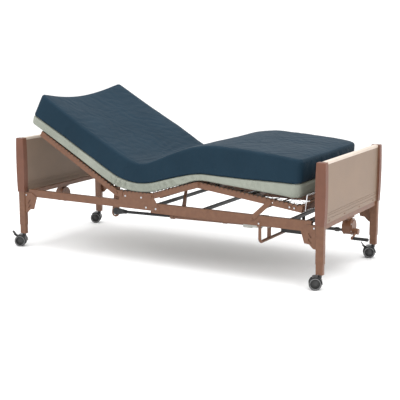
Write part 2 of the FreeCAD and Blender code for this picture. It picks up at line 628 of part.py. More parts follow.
def thigh_frame():
    """Thigh section: two side tubes, a knee bar, a lever bar and the knee plates."""
    width = RAIL_WIDTH - 2 * SIDE_GAP
    knee_gap = DECK_HALF + 2
    parts = []
    for name, sy in NEAR_FAR:
        parts += deck_side_tube(0, THIGH_LENGTH - knee_gap, width, sy, 0)
        centre = RAIL_OUTER_Y - RAIL_WIDTH / 2
        for side in (1, -1):
            y0 = sy * (centre + side * width / 2)
            y1 = sy * (centre + side * (width / 2 + PLATE))
            start, end = V(THIGH_LENGTH - 52, 0, 0), V(THIGH_LENGTH, 0, 0)
            parts.append(link_plate(start, end, DECK_HALF - 1, DECK_HALF - 1, y0, y1))
    reach = RAIL_OUTER_Y - RAIL_WIDTH + SIDE_GAP + 1
    parts.append(box(THIGH_LENGTH - 78, THIGH_LENGTH - 58, -reach, reach, -DECK_HALF + 2, DECK_HALF - 14))
    parts.append(box(LEVER_BAR - 12, LEVER_BAR + 12, -reach, reach, -DECK_HALF - 8, -DECK_HALF + 14))
    parts += hinge_pins(0)
    frame = raise_thigh(fuse(parts))
    turn = math.radians(THIGH_ANGLE)
    bar = V(THIGH_HINGE_X + LEVER_BAR * math.cos(turn) + 16 * math.sin(turn), 0,
            DECK_Z + LEVER_BAR * math.sin(turn) - 16 * math.cos(turn))
    y0, y1 = KNEE_DRIVE_Y - LEVER_THICK / 2, KNEE_DRIVE_Y + LEVER_THICK / 2
    centre = KNEE_CLEVIS + V(0, 0, -3.7)
    lever = link_plate(bar, centre, 9, 16, y0, y1)
    hole = rod(V(centre.x, y0 - 1, centre.z), V(centre.x, y1 + 1, centre.z), CLEVIS_PIN_R + 5)
    pin_hole = rod(V(THIGH_LENGTH, -WIDTH, 0), V(THIGH_LENGTH, WIDTH, 0), PIN_R + RUNNING_GAP)
    return frame.fuse(lever).removeSplitter().cut(hole).cut(raise_thigh(pin_hole))


def calf_frame():
    """Calf and foot section: two side tubes with a slot for the strut pin, and cross bars."""
    width = RAIL_WIDTH - 4 * SIDE_GAP
    parts = []
    for name, sy in NEAR_FAR:
        parts += deck_side_tube(0, CALF_LENGTH, width, sy, 0)
    reach = RAIL_OUTER_Y - RAIL_WIDTH + 2 * SIDE_GAP + 1
    parts.append(box(CALF_LENGTH - 25, CALF_LENGTH, -reach, reach, -DECK_HALF, DECK_HALF))
    parts.append(box(70, 90, -reach, reach, -DECK_HALF + 2, DECK_HALF - 14))
    parts.append(box(330, 356, -reach, reach, -DECK_HALF + 4, DECK_HALF - 14))
    parts += hinge_pins(0)
    body = fuse(parts)
    for name, sy in NEAR_FAR:
        y0, y1 = sy * (RAIL_OUTER_Y + 3), sy * (RAIL_OUTER_Y - RAIL_WIDTH - 3)
        centre = V(STRUT_REACH + 5.8, 0, -1)
        body = body.cut(slot_y(centre, 2 * STRUT_PIN_R + 14.5, 2 * STRUT_PIN_R + 6.5, 0, y0, y1))
    return lower_calf(body)


def foot_strut():
    """Pair of flat struts from the foot rails to the calf section, tied by a cross rod."""
    top = on_calf(STRUT_REACH, 0)
    along = top - STRUT_PIVOT
    parts = []
    for name, sy in NEAR_FAR:
        y0, y1 = sy * (RAIL_OUTER_Y + 0.8), sy * (RAIL_OUTER_Y + 0.8 + STRUT_THICK)
        parts.append(link_plate(STRUT_PIVOT, top, STRUT_WIDTH / 2, STRUT_WIDTH / 2, y0, y1))
        inner = sy * (RAIL_OUTER_Y - RAIL_WIDTH - 1)
        for point, radius in ((STRUT_PIVOT, PIN_R), (top, STRUT_PIN_R)):
            parts.append(rod(V(point.x, inner, point.z), V(point.x, y1, point.z), radius))
            parts.append(rod(V(point.x, y1, point.z), V(point.x, y1 + sy * 3, point.z), radius + 4))
    tie = STRUT_PIVOT + along * 0.57
    tie_y = RAIL_OUTER_Y + 2
    parts.append(rod(V(tie.x, -tie_y, tie.z), V(tie.x, tie_y, tie.z), 5))
    return fuse(parts)


def link_deck(x0, x1, springs_from, clear_y):
    """Flat spring-steel link fabric with a row of tension springs along each side."""
    y_edge = 372.0
    level, thick = 10.0, 3.0
    rows = max(2, round((x1 - x0) / 75.0))
    pitch_x = (x1 - x0 - 6) / rows
    columns = 10
    pitch_y = (2 * y_edge - 6) / columns
    mesh = [box(x0 + i * pitch_x, x0 + i * pitch_x + 6, -y_edge, y_edge, level, level + thick)
            for i in range(rows + 1)]
    mesh += [box(x0, x1, -y_edge + j * pitch_y, -y_edge + j * pitch_y + 6, level, level + thick)
             for j in range(columns + 1)]
    for name, sy in NEAR_FAR:
        for i in range(rows + 1):
            x = x0 + 3 + i * pitch_x
            if x < springs_from:
                continue
            mesh.append(rod(V(x, sy * (y_edge - 2), level + 1.5), V(x, sy * clear_y, level + 1.5), 5.5))
    return fuse(mesh)


def back_link_deck():
    clear_y = RAIL_OUTER_Y - RAIL_WIDTH + SIDE_GAP - 1
    return raise_back(link_deck(-BACK_LENGTH + 40, -40, -BACK_LENGTH, clear_y))


def seat_link_deck():
    clear_y = RAIL_OUTER_Y - RAIL_WIDTH - PLATE - 1
    deck = link_deck(BACK_HINGE_X + 46, THIGH_HINGE_X - 46, BACK_HINGE_X, clear_y)
    deck.translate(V(0, 0, DECK_Z))
    return deck


def thigh_link_deck():
    clear_y = RAIL_OUTER_Y - RAIL_WIDTH + SIDE_GAP - 1 - PLATE
    return raise_thigh(link_deck(40, THIGH_LENGTH - 36, 0, clear_y))


def calf_link_deck():
    clear_y = RAIL_OUTER_Y - RAIL_WIDTH - 2
    return lower_calf(link_deck(36, CALF_LENGTH - 40, 0, clear_y))


def mattress_retainer():
    """Bent wire at the foot that keeps the mattress from sliding, clipped to the end bar."""
    x = CALF_LENGTH + 4
    rise = FOOT_BOTTOM + 26
    half = 405.0
    parts = [
        rod(V(x, -half, rise), V(x, half, rise), 4),
        rod(V(x, -half, -12), V(x, -half, rise), 4),
        rod(V(x, half, -12), V(x, half, rise), 4),
    ]
    for sy in (-1, 1):
        parts.append(Part.makeSphere(4, V(x, sy * half, rise)))
        parts.append(rod(V(x, sy * half, -12), V(x, sy * (half - 90), -12), 4))
        parts.append(Part.makeSphere(4, V(x, sy * half, -12)))
    return lower_calf(fuse(parts))


# ---- actuators

def along_line(start, end):
    direction = end - start
    direction.normalize()
    return direction


def push_rod(clevis, motor, length):
    """Round rod with a two-cheek clevis and its pin; the cheeks stand clear of the lever."""
    direction = along_line(clevis, motor)
    cheek_in = LEVER_THICK / 2 + 1
    cheek_out = cheek_in + 5
    parts = [rod(clevis + direction * 62, clevis + direction * length, PUSH_ROD_R)]
    for side in (-1, 1):
        y0, y1 = clevis.y + side * cheek_in, clevis.y + side * cheek_out
        parts.append(link_plate(clevis, clevis + direction * 68, CLEVIS_R, 11, y0, y1))
    parts.append(rod(clevis + direction * 61, clevis + direction * 76, 13.5))
    parts.append(rod(V(clevis.x, clevis.y - cheek_out - 3, clevis.z),
                     V(clevis.x, clevis.y + cheek_out + 3, clevis.z), CLEVIS_PIN_R))
    return fuse(parts)


def actuator_tube(clevis, motor, length):
    """Outer tube that the rod slides in, with a collar at its mouth."""
    direction = along_line(clevis, motor)
    mouth = motor - direction * length
    tail = motor - direction * MOTOR_REACH
    tube = rod(mouth, tail, OUTER_TUBE_R)
    collar = rod(mouth, mouth + direction * 26, OUTER_TUBE_R + 4)
    joint = rod(tail - direction * 150, tail - direction * 124, OUTER_TUBE_R + 3)
    bore = rod(mouth - direction, tail - direction * 20, PUSH_ROD_R + RUNNING_GAP)
    return fuse([tube, collar, joint]).cut(bore)


def actuator_motor(clevis, motor):
    """Gear housing and motor at the tube's fixed end, and the fork that pivots on the cradle's post."""
    direction = along_line(clevis, motor)
    turn = -math.degrees(math.atan2(direction.z, direction.x))
    gear = box(-MOTOR_REACH, -104, -27, 27, -24, 24)
    gear = gear.makeFillet(6.0, gear.Edges)
    barrel = rod(V(-106, 0, 0), V(-50, 0, 0), 24)
    block = box(-52, -32, -FORK_OUT, FORK_OUT, -13, 13)
    pin = rod(V(0, -FORK_OUT - 3, 0), V(0, FORK_OUT + 3, 0), PIN_R)
    parts = [gear, barrel, block, pin]
    for side in (-1, 1):
        parts.append(link_plate(V(-40, 0, 0), V(0, 0, 0), 12, 12, side * FORK_IN, side * FORK_OUT))
    body = fuse(parts)
    body.rotate(V(0, 0, 0), AXIS_Y, turn)
    body.translate(motor)
    return body


def motor_cradle():
    """Bent rod slung between the side rails, with an upright post for each motor's fork."""
    x, low, bend = CRADLE_X, CRADLE_Z, CRADLE_BEND
    reach = RAIL_OUTER_Y - RAIL_WIDTH / 2
    rail_bottom = RAIL_TOP - FOOT_RAIL_HEIGHT
    parts = [rod(V(x, bend - reach, low), V(x, reach - bend, low), CRADLE_ROD_R)]
    for name, sy in NEAR_FAR:
        y = sy * reach
        parts.append(rod(V(x, y, low + bend), V(x, y, rail_bottom - 4), CRADLE_ROD_R))
        parts.append(box(x - 12, x + 12, y - sy * 12, sy * (RAIL_OUTER_Y + 3), rail_bottom - 5, rail_bottom))
        parts.append(box(x - 12, x + 12, sy * RAIL_OUTER_Y, sy * (RAIL_OUTER_Y + 3), rail_bottom - 5, 362))
        mid = bend * (1 - math.sqrt(0.5))
        start, end = V(x, y, low + bend), V(x, y - sy * bend, low)
        corner = Part.Arc(start, V(x, y - sy * mid, low + mid), end).toShape()
        profile = Part.Wire([Part.makeCircle(CRADLE_ROD_R, start, V(0, 0, 1))])
        parts.append(Part.Wire([corner]).makePipeShell([profile], True, False))
    for motor in (HEAD_MOTOR, KNEE_MOTOR):
        y0, y1 = motor.y - POST_HALF, motor.y + POST_HALF
        parts.append(box(x - 12, x + 12, y0, y1, low, motor.z))
        parts.append(rod(V(x, y0, motor.z), V(x, y1, motor.z), 12))
    body = fuse(parts)
    for motor in (HEAD_MOTOR, KNEE_MOTOR):
        body = body.cut(rod(motor - V(0, 20, 0), motor + V(0, 20, 0), PIN_R + RUNNING_GAP))
    return body


def control_box():
    """Junction box under the foot rails with a power inlet and two round cable sockets."""
    x0, x1 = 758.0, 902.0
    y0, y1 = -260.0, -150.0
    z0, z1 = 268.0, 330.0
    body = box(x0, x1, y0, y1, z0, z1)
    body = body.makeFillet(6.0, body.Edges)
    hangers = [box(856, 876, y, y + 4, z1 - 1, MEMBER_BOTTOM) for y in (y0 + 20, y1 - 24)]
    body = fuse([body] + hangers)
    inlet = box(x1 - 12, x1 + 1, y0 + 16, y0 + 44, z0 + 16, z0 + 38)
    sockets = [rod(V(x1 - 14, y, z0 + 27), V(x1 + 1, y, z0 + 27), 8) for y in (y0 + 64, y0 + 88)]
    return body.cut(inlet).cut(sockets[0]).cut(sockets[1])


# ---- mattress

def mattress_slice(points, round_x):
    """Slice with an outline of (x, height) points; its upright edges at round_x are rounded."""
    body = prism_y(points, -MATTRESS_HALF_Y, MATTRESS_HALF_Y)
    if round_x is None:
        return body
    upright = [e for e in body.Edges
               if abs(e.CenterOfMass.x - round_x) < 3 and abs(abs(e.CenterOfMass.y) - MATTRESS_HALF_Y) < 1
               and abs(e.tangentAt(e.FirstParameter).z) > 0.9]
    return body.makeFillet(MATTRESS_CORNER, upright)


def back_slice(low, high):
    """Back part of the mattress; it starts short of the hinge, for it creeps up as the back rises."""
    lean = math.tan(math.radians(BACK_WEDGE))
    end = -MATTRESS_BACK_LENGTH
    hinge_low, hinge_high = -low * lean - MATTRESS_SLIDE, -high * lean - MATTRESS_SLIDE
    points = [(end, low), (end, high), (hinge_high, high), (hinge_low, low)]
    return raise_back(mattress_slice(points, end))


def seat_slice(low, high):
    head, foot = math.tan(math.radians(SEAT_HEAD_WEDGE)), math.tan(math.radians(SEAT_FOOT_WEDGE))
    points = [(BACK_HINGE_X + low * head, low), (BACK_HINGE_X + high * head, high),
              (THIGH_HINGE_X - high * foot, high), (THIGH_HINGE_X - low * foot, low)]
    body = mattress_slice(points, None)
    body.translate(V(0, 0, DECK_Z))
    return body


def thigh_slice(low, high, knee_low, knee_high):
    lean = math.tan(math.radians(THIGH_WEDGE))
    points = [(low * lean + 1, low), (high * lean + 1, high),
              (THIGH_LENGTH - 0.5, knee_high), (THIGH_LENGTH - 0.5, knee_low)]
    return raise_thigh(mattress_slice(points, None))


def calf_slice(knee_low, knee_high, foot_low, foot_high):
    end = MATTRESS_CALF_LENGTH
    points = [(0.5, knee_low), (0.5, knee_high), (end, foot_high), (end, foot_low)]
    return lower_calf(mattress_slice(points, end))


def build():
    low, seam = MATTRESS_BOTTOM, MATTRESS_SEAM - SEAM_GAP
    nodes = {
        "outer_leg_posts": outer_leg_posts(),
        "post_trims": post_trims(),
        "head_panel": end_panel(-1),
        "foot_panel": end_panel(1),
        "end_lower_rails": end_lower_rails(),
        "corner_brackets": corner_brackets(),
        "gearbox_housings": gearbox_housings(),
        "drive_shaft": drive_shaft(),
        "head_cross_shaft": cross_shaft(-1),
        "foot_cross_shaft": cross_shaft(1),
        "crank": crank(),
        "crank_grip": crank_grip(),
        "head_side_rails": head_side_rails(),
        "foot_side_rails": foot_side_rails(),
        "rail_cross_members": rail_cross_members(),
        "seat_frame": seat_frame(),
        "frame_fasteners": frame_fasteners(),
        "back_frame": back_frame(),
        "thigh_frame": thigh_frame(),
        "calf_frame": calf_frame(),
        "foot_strut": foot_strut(),
        "back_link_deck": back_link_deck(),
        "seat_link_deck": seat_link_deck(),
        "thigh_link_deck": thigh_link_deck(),
        "calf_link_deck": calf_link_deck(),
        "mattress_retainer": mattress_retainer(),
        "head_push_rod": push_rod(HEAD_CLEVIS, HEAD_MOTOR, HEAD_ROD_LENGTH),
        "knee_push_rod": push_rod(KNEE_CLEVIS, KNEE_MOTOR, KNEE_ROD_LENGTH),
        "head_actuator_tube": actuator_tube(HEAD_CLEVIS, HEAD_MOTOR, HEAD_TUBE_LENGTH),
        "knee_actuator_tube": actuator_tube(KNEE_CLEVIS, KNEE_MOTOR, KNEE_TUBE_LENGTH),
        "head_motor": actuator_motor(HEAD_CLEVIS, HEAD_MOTOR),
        "knee_motor": actuator_motor(KNEE_CLEVIS, KNEE_MOTOR),
        "motor_cradle": motor_cradle(),
        "control_box": control_box(),
        "mattress_back_base": back_slice(low, seam),
        "mattress_back_cover": back_slice(MATTRESS_SEAM, MATTRESS_TOP),
        "mattress_seat_base": seat_slice(low, seam),
        "mattress_seat_cover": seat_slice(MATTRESS_SEAM, MATTRESS_TOP),
        "mattress_thigh_base": thigh_slice(low, seam, low, KNEE_SEAM - SEAM_GAP),
        "mattress_thigh_cover": thigh_slice(MATTRESS_SEAM, MATTRESS_TOP, KNEE_SEAM, KNEE_TOP),
        "mattress_calf_base": calf_slice(low, KNEE_SEAM - SEAM_GAP, FOOT_BOTTOM, FOOT_SEAM - SEAM_GAP),
        "mattress_calf_cover": calf_slice(KNEE_SEAM, KNEE_TOP, FOOT_SEAM, FOOT_TOP),
    }
    for name, sx, sy in CORNERS:
        nodes["inner_leg_" + name] = inner_leg(sx, sy)
        nodes["lead_screw_" + name] = lead_screw(sx, sy)
        nodes["caster_swivel_" + name] = caster_swivel(sx, sy)
        nodes["caster_wheels_" + name] = caster_wheels(sx, sy)
    nodes["brake_lever_head_near"] = brake_lever(-1, -1)
    nodes["brake_lever_foot_far"] = brake_lever(1, 1)
    return nodes


def export(nodes):
    os.makedirs("parts", exist_ok=True)
    for name, shape in nodes.items():
        solids = Part.makeCompound(shape) if isinstance(shape, list) else shape
        solids.exportStep("parts/" + name + ".step")


export(build())
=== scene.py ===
"""Looks of an adjustable hospital bed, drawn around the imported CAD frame."""

import json
import math

import bmesh
import bpy
import numpy as np
from mathutils import Matrix, Vector


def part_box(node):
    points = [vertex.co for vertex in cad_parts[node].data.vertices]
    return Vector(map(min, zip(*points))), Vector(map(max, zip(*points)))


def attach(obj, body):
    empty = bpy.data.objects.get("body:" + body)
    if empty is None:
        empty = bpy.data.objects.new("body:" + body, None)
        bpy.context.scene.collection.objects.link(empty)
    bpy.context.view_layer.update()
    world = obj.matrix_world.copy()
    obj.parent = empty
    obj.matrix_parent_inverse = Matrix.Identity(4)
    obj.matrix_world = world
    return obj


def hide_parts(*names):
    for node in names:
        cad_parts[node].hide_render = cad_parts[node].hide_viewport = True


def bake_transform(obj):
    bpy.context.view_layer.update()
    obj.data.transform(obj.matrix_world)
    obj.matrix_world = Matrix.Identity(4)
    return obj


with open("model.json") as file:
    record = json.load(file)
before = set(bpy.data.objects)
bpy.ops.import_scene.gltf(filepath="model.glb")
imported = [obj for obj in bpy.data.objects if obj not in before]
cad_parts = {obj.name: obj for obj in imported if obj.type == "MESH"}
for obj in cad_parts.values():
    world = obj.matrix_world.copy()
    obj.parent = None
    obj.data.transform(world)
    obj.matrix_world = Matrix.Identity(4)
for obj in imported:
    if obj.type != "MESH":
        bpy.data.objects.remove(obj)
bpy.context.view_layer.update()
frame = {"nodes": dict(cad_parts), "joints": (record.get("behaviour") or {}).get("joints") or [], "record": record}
nodes = frame["nodes"]

# ---- camera: distance, height and lens of a studio shot from the near foot corner

AZIMUTH, ELEVATION = math.radians(29.90), math.radians(10.90)
CAMERA_PLACE = (3.2745, -5.6219, 1.6032)
LENS_MM, SENSOR_MM = 89.85, 36.0
camera = bpy.data.objects.new("camera", bpy.data.cameras.new("camera"))
bpy.context.scene.collection.objects.link(camera)
towards_camera = Vector((math.sin(AZIMUTH) * math.cos(ELEVATION),
                         -math.cos(AZIMUTH) * math.cos(ELEVATION),
                         math.sin(ELEVATION)))
camera.data.lens = LENS_MM
camera.data.sensor_width = SENSOR_MM
camera.location = CAMERA_PLACE
camera.rotation_mode = "QUATERNION"
camera.rotation_quaternion = (-towards_camera).to_track_quat("-Z", "Y")
camera.data.clip_start, camera.data.clip_end = 0.1, 300.0
bpy.context.scene.camera = camera
bpy.context.scene.view_settings.view_transform = "Standard"


# ---- materials

def new_material(name):
    """Empty node material; returns it with its tree, its shader and its object coordinates."""
    material = bpy.data.materials.new(name)
    material.use_nodes = True
    tree = material.node_tree
    tree.nodes.clear()
    out = tree.nodes.new("ShaderNodeOutputMaterial")
    shader = tree.nodes.new("ShaderNodeBsdfPrincipled")
    tree.links.new(shader.outputs["BSDF"], out.inputs["Surface"])
    coords = tree.nodes.new("ShaderNodeTexCoord")
    return material, tree, shader, coords.outputs["Object"]


def noise(tree, coords, scale, detail=3.0):
    node = tree.nodes.new("ShaderNodeTexNoise")
    node.inputs["Scale"].default_value = scale
    node.inputs["Detail"].default_value = detail
    tree.links.new(coords, node.inputs["Vector"])
    return node.outputs["Fac"]


def colour_between(tree, factor, dark, light, low=0.3, high=0.7):
    ramp = tree.nodes.new("ShaderNodeValToRGB")
    ramp.color_ramp.elements[0].position = low
    ramp.color_ramp.elements[1].position = high
    ramp.color_ramp.elements[0].color = (*dark, 1)
    ramp.color_ramp.elements[1].color = (*light, 1)
    tree.links.new(factor, ramp.inputs["Fac"])
    return ramp.outputs["Color"]


def value_between(tree, factor, low, high):
    node = tree.nodes.new("ShaderNodeMapRange")
    node.inputs["To Min"].default_value = low
    node.inputs["To Max"].default_value = high
    tree.links.new(factor, node.inputs["Value"])
    return node.outputs["Result"]


def bump(tree, shader, height, strength, distance):
    node = tree.nodes.new("ShaderNodeBump")
    node.inputs["Strength"].default_value = strength
    node.inputs["Distance"].default_value = distance
    tree.links.new(height, node.inputs["Height"])
    tree.links.new(node.outputs["Normal"], shader.inputs["Normal"])


GRAIN_SCALE = 900.0
ROUGHNESS_SPREAD = 0.06
HARD_GLOSS, CLOTH_GLOSS = 0.4, 0.07
WEAVE_PITCH, WEAVE_DEPTH = 0.0022, 0.0004


def finish(name, dark, light, rough, scale=40.0, metallic=0.0, grain_depth=0.0003, coat=0.0):
    """A surface whose colour and roughness wander a little, with a fine grain."""
    material, tree, shader, coords = new_material(name)
    broad = noise(tree, coords, scale)
    tree.links.new(colour_between(tree, broad, dark, light), shader.inputs["Base Color"])
    tree.links.new(value_between(tree, broad, rough - ROUGHNESS_SPREAD, rough + ROUGHNESS_SPREAD),
                   shader.inputs["Roughness"])
    shader.inputs["Metallic"].default_value = metallic
    shader.inputs["Coat Weight"].default_value = coat
    shader.inputs["Specular IOR Level"].default_value = HARD_GLOSS
    bump(tree, shader, noise(tree, coords, GRAIN_SCALE, detail=2.0), 0.25, grain_depth)
    return material


def woven(name, dark, light, rough):
    """Coated cloth: a plain weave too fine to read at a distance over slow changes of shade."""
    material, tree, shader, coords = new_material(name)
    shade = noise(tree, coords, 5.0, detail=4.0)
    tree.links.new(colour_between(tree, shade, dark, light, 0.25, 0.75), shader.inputs["Base Color"])
    threads = []
    for direction in ("X", "Y", "Z"):
        wave = tree.nodes.new("ShaderNodeTexWave")
        wave.wave_type = "BANDS"
        wave.bands_direction = direction
        wave.inputs["Scale"].default_value = 1.0 / WEAVE_PITCH
        wave.inputs["Distortion"].default_value = 0.4
        tree.links.new(coords, wave.inputs["Vector"])
        threads.append(wave.outputs["Fac"])
    weave = threads[0]
    for thread in threads[1:]:
        product = tree.nodes.new("ShaderNodeMath")
        product.operation = "MULTIPLY"
        tree.links.new(weave, product.inputs[0])
        tree.links.new(thread, product.inputs[1])
        weave = product.outputs["Value"]
    shader.inputs["Roughness"].default_value = rough
    shader.inputs["Specular IOR Level"].default_value = CLOTH_GLOSS
    bump(tree, shader, weave, 0.15, WEAVE_DEPTH)
    return material


BROWN_PAINT = finish("brown_paint_finish", (0.125, 0.053, 0.027), (0.154, 0.069, 0.035), 0.40, coat=0.05)
BLACK_PAINT = finish("black_paint_finish", (0.008, 0.008, 0.009), (0.016, 0.016, 0.018), 0.40)
PANEL = finish("panel_finish", (0.195, 0.137, 0.098), (0.224, 0.157, 0.112), 0.50, scale=6.0,
               grain_depth=0.0005)
TRIM = finish("trim_finish", (0.118, 0.044, 0.024), (0.140, 0.053, 0.030), 0.45, scale=14.0)
EDGE_BAND = finish("edge_band_finish", (0.50, 0.42, 0.35), (0.57, 0.48, 0.41), 0.35, scale=10.0)
ZINC = finish("zinc_finish", (0.42, 0.42, 0.43), (0.58, 0.58, 0.60), 0.34, metallic=0.9, scale=60.0)
DARK_STEEL = finish("dark_steel_finish", (0.045, 0.043, 0.042), (0.085, 0.080, 0.078), 0.38, metallic=0.6,
                    scale=60.0)
CHROME = finish("chrome_finish", (0.72, 0.72, 0.74), (0.80, 0.80, 0.82), 0.14, metallic=1.0)
SPRING_WIRE = finish("spring_wire_finish", (0.015, 0.015, 0.016), (0.040, 0.038, 0.036), 0.38, metallic=0.3)
GREY_PLASTIC = finish("grey_plastic_finish", (0.40, 0.40, 0.37), (0.47, 0.47, 0.44), 0.48)
CASTER_PLASTIC = finish("caster_plastic_finish", (0.020, 0.020, 0.020), (0.034, 0.034, 0.034), 0.42)
RIM_PLASTIC = finish("rim_plastic_finish", (0.17, 0.17, 0.17), (0.22, 0.22, 0.22), 0.42)
BLACK_PLASTIC = finish("black_plastic_finish", (0.010, 0.010, 0.010), (0.018, 0.018, 0.018), 0.5)
TYRE = finish("tyre_finish", (0.008, 0.009, 0.010), (0.015, 0.016, 0.018), 0.62)
BLUE_COVER = woven("blue_cover_finish", (0.0094, 0.0246, 0.0395), (0.0120, 0.0300, 0.0475), 0.55)
GREY_BASE = woven("grey_base_finish", (0.225, 0.242, 0.205), (0.300, 0.316, 0.272), 0.70)

SLOT_FINISH = {
    "brown_paint": BROWN_PAINT, "black_paint": BLACK_PAINT, "panel_plastic": PANEL, "trim_plastic": TRIM,
    "zinc_steel": ZINC, "chrome": CHROME, "spring_wire": SPRING_WIRE, "grey_plastic": GREY_PLASTIC,
    "black_plastic": BLACK_PLASTIC, "wheel_rubber": TYRE, "mattress_blue": BLUE_COVER,
    "mattress_grey": GREY_BASE,
}
for part in frame["record"]["subparts"]:
    target = nodes[part["node"]]
    target.data.materials.clear()
    target.data.materials.append(SLOT_FINISH[part["material_slot"]])
nodes["crank"].data.materials[0] = BROWN_PAINT
nodes["drive_shaft"].data.materials[0] = DARK_STEEL


# ---- mesh helpers

def add_object(name, mesh, material):
    mesh.materials.append(material)
    made = bpy.data.objects.new(name, mesh)
    bpy.context.scene.collection.objects.link(made)
    return made


def mesh_object(name, vertices, faces, material, smooth=True):
    mesh = bpy.data.meshes.new(name)
    mesh.from_pydata([tuple(v) for v in vertices], [], faces)
    mesh.update()
    if smooth:
        mesh.polygons.foreach_set("use_smooth", [True] * len(mesh.polygons))
    return add_object(name, mesh, material)


def skin(rings, around, closed=False):
    """Faces over rings of points: the last ring joins the first, or both ends have a cap."""
    faces = []
    for i in range(rings if closed else rings - 1):
        j = (i + 1) % rings
        for k in range(around):
            nxt = (k + 1) % around
            faces.append((i * around + k, i * around + nxt, j * around + nxt, j * around + k))
    if not closed:
        faces.append(tuple(reversed(range(around))))
        faces.append(tuple(range((rings - 1) * around, rings * around)))
    return faces


def sweep(points, radius, sides=8):
    """Rod of round section along a list of points; returns vertices and faces."""
    path = [Vector(p) for p in points]
    last = len(path) - 1
    vertices = []
    side = None
    for i, here in enumerate(path):
        along = (path[min(i + 1, last)] - path[max(i - 1, 0)]).normalized()
        if side is None:
            side = along.orthogonal().normalized()
        side = (side - along * side.dot(along)).normalized()
        up = along.cross(side)
        for k in range(sides):
            turn = 2 * math.pi * k / sides
            vertices.append(here + radius * (math.cos(turn) * side + math.sin(turn) * up))
    return vertices, skin(len(path), sides)


def lathe(profile, origin, axis, segments=40, ring=False):
    """Solid of revolution of (radius, distance along axis) points; a ring's profile closes on itself."""
    axis = Vector(axis).normalized()
    side = axis.orthogonal().normalized()
    up = axis.cross(side)
    vertices = []
    for radius, along in profile:
        for k in range(segments):
            turn = 2 * math.pi * k / segments
            vertices.append(Vector(origin) + axis * along
                            + radius * (math.cos(turn) * side + math.sin(turn) * up))
    return vertices, skin(len(profile), segments, closed=ring)


def gather(shapes):
    """One list of vertices and one of faces from several shapes."""
    vertices, faces = [], []
    for more_vertices, more_faces in shapes:
        start = len(vertices)
        vertices += more_vertices
        faces += [tuple(start + i for i in face) for face in more_faces]
    return vertices, faces


def add_piece(name, shapes, material, body, node=None, place=Matrix()):
    """One visible piece made of several shapes, that rides on a body and may replace a CAD node."""
    vertices, faces = gather(shapes)
    made = mesh_object(name, [place @ Vector(v) for v in vertices], faces, material)
    if node:
        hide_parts(node)
    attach(made, body)


# ---- the deck's line: hinge points, slopes and the mattress that follows them

joints = frame["record"]["behaviour"]["joints"]
joint_place = {j["name"]: Vector(j["pos_m"]) for j in joints if "pos_m" in j}
BACK_HINGE = joint_place["back_tilt"]
THIGH_HINGE = joint_place["thigh_tilt"]
KNEE = joint_place["calf_fold"]
BACK_SLOPE = math.radians(30.0)
THIGH_SLOPE = math.atan2(KNEE.z - THIGH_HINGE.z, KNEE.x - THIGH_HINGE.x)
CALF_PER_THIGH_SLOPE = -0.406
CALF_SLOPE = CALF_PER_THIGH_SLOPE * THIGH_SLOPE
SEAT_LENGTH = THIGH_HINGE.x - BACK_HINGE.x
THIGH_LENGTH = (KNEE - THIGH_HINGE).length

# the mattress's reach past the back hinge and the knee, and distances along the deck, called s,
# that are counted from the back hinge towards the foot
BACK_RUN, CALF_RUN = 0.806, 0.674
S_THIGH = SEAT_LENGTH
S_KNEE = SEAT_LENGTH + THIGH_LENGTH
S_START, S_END = -BACK_RUN, S_KNEE + CALF_RUN
HALF_WIDTH = 0.455
HEAD_CORNER, FOOT_CORNER = 0.034, 0.060
CORNER_STEPS, EDGE_STEPS = 8, 6
SMOOTH_REACH, SMOOTH_SAMPLES = 0.055, 11


def on_section(hinge, slope, along, height):
    """Side-view point at a distance along a deck section and a height above its centre plane."""
    return (hinge.x + along * math.cos(slope) - height * math.sin(slope),
            hinge.z + along * math.sin(slope) + height * math.cos(slope))


def on_back(along, height):
    return on_section(BACK_HINGE, -BACK_SLOPE, -along, height)


def on_thigh(along, height):
    return on_section(THIGH_HINGE, THIGH_SLOPE, along, height)


def on_calf(along, height):
    return on_section(KNEE, CALF_SLOPE, along, height)


# side profile of the mattress from head to foot: distance along the deck from the back hinge,
# then the underside, the two-tone line and the top at that station
STATIONS = [
    (S_START, on_back(0.797, 0.019), on_back(0.805, 0.076), on_back(0.812, 0.240)),
    (-0.65, on_back(0.650, 0.024), on_back(0.655, 0.084), on_back(0.660, 0.234)),
    (-0.45, on_back(0.450, 0.028), on_back(0.455, 0.088), on_back(0.460, 0.231)),
    (-0.28, on_back(0.280, 0.028), on_back(0.290, 0.091), on_back(0.300, 0.233)),
    (-0.12, on_back(0.120, 0.028), on_back(0.135, 0.094), on_back(0.156, 0.238)),
    (0.0, (-0.318, 0.480), (-0.298, 0.540), (-0.236, 0.672)),
    (0.13, (-0.188, 0.461), (-0.176, 0.516), (-0.152, 0.645)),
    (S_THIGH, (-0.066, 0.464), (-0.062, 0.527), (-0.078, 0.654)),
    (S_THIGH + 0.12, on_thigh(0.120, 0.024), on_thigh(0.126, 0.081), on_thigh(0.150, 0.218)),
    (S_THIGH + 0.24, on_thigh(0.240, 0.025), on_thigh(0.247, 0.078), on_thigh(0.275, 0.232)),
    (S_KNEE, (0.281, 0.577), (0.286, 0.617), (0.262, 0.784)),
    (S_KNEE + 0.12, on_calf(0.120, 0.037), (0.409, 0.611), (0.390, 0.798)),
    (S_KNEE + 0.33, on_calf(0.330, 0.046), (0.615, 0.608), (0.615, 0.786)),
    (S_KNEE + 0.55, on_calf(0.550, 0.054), (0.838, 0.608), (0.842, 0.768)),
    (S_END, on_calf(0.672, 0.056), (0.958, 0.606), (0.961, 0.748)),
]
UNDERSIDE, TWO_TONE, TOP = 1, 2, 3


def extended(values):
    """A row of values carried straight on past both ends, so that smoothing leaves the ends alone."""
    return [2 * values[0] - values[1]] + list(values) + [2 * values[-1] - values[-2]]


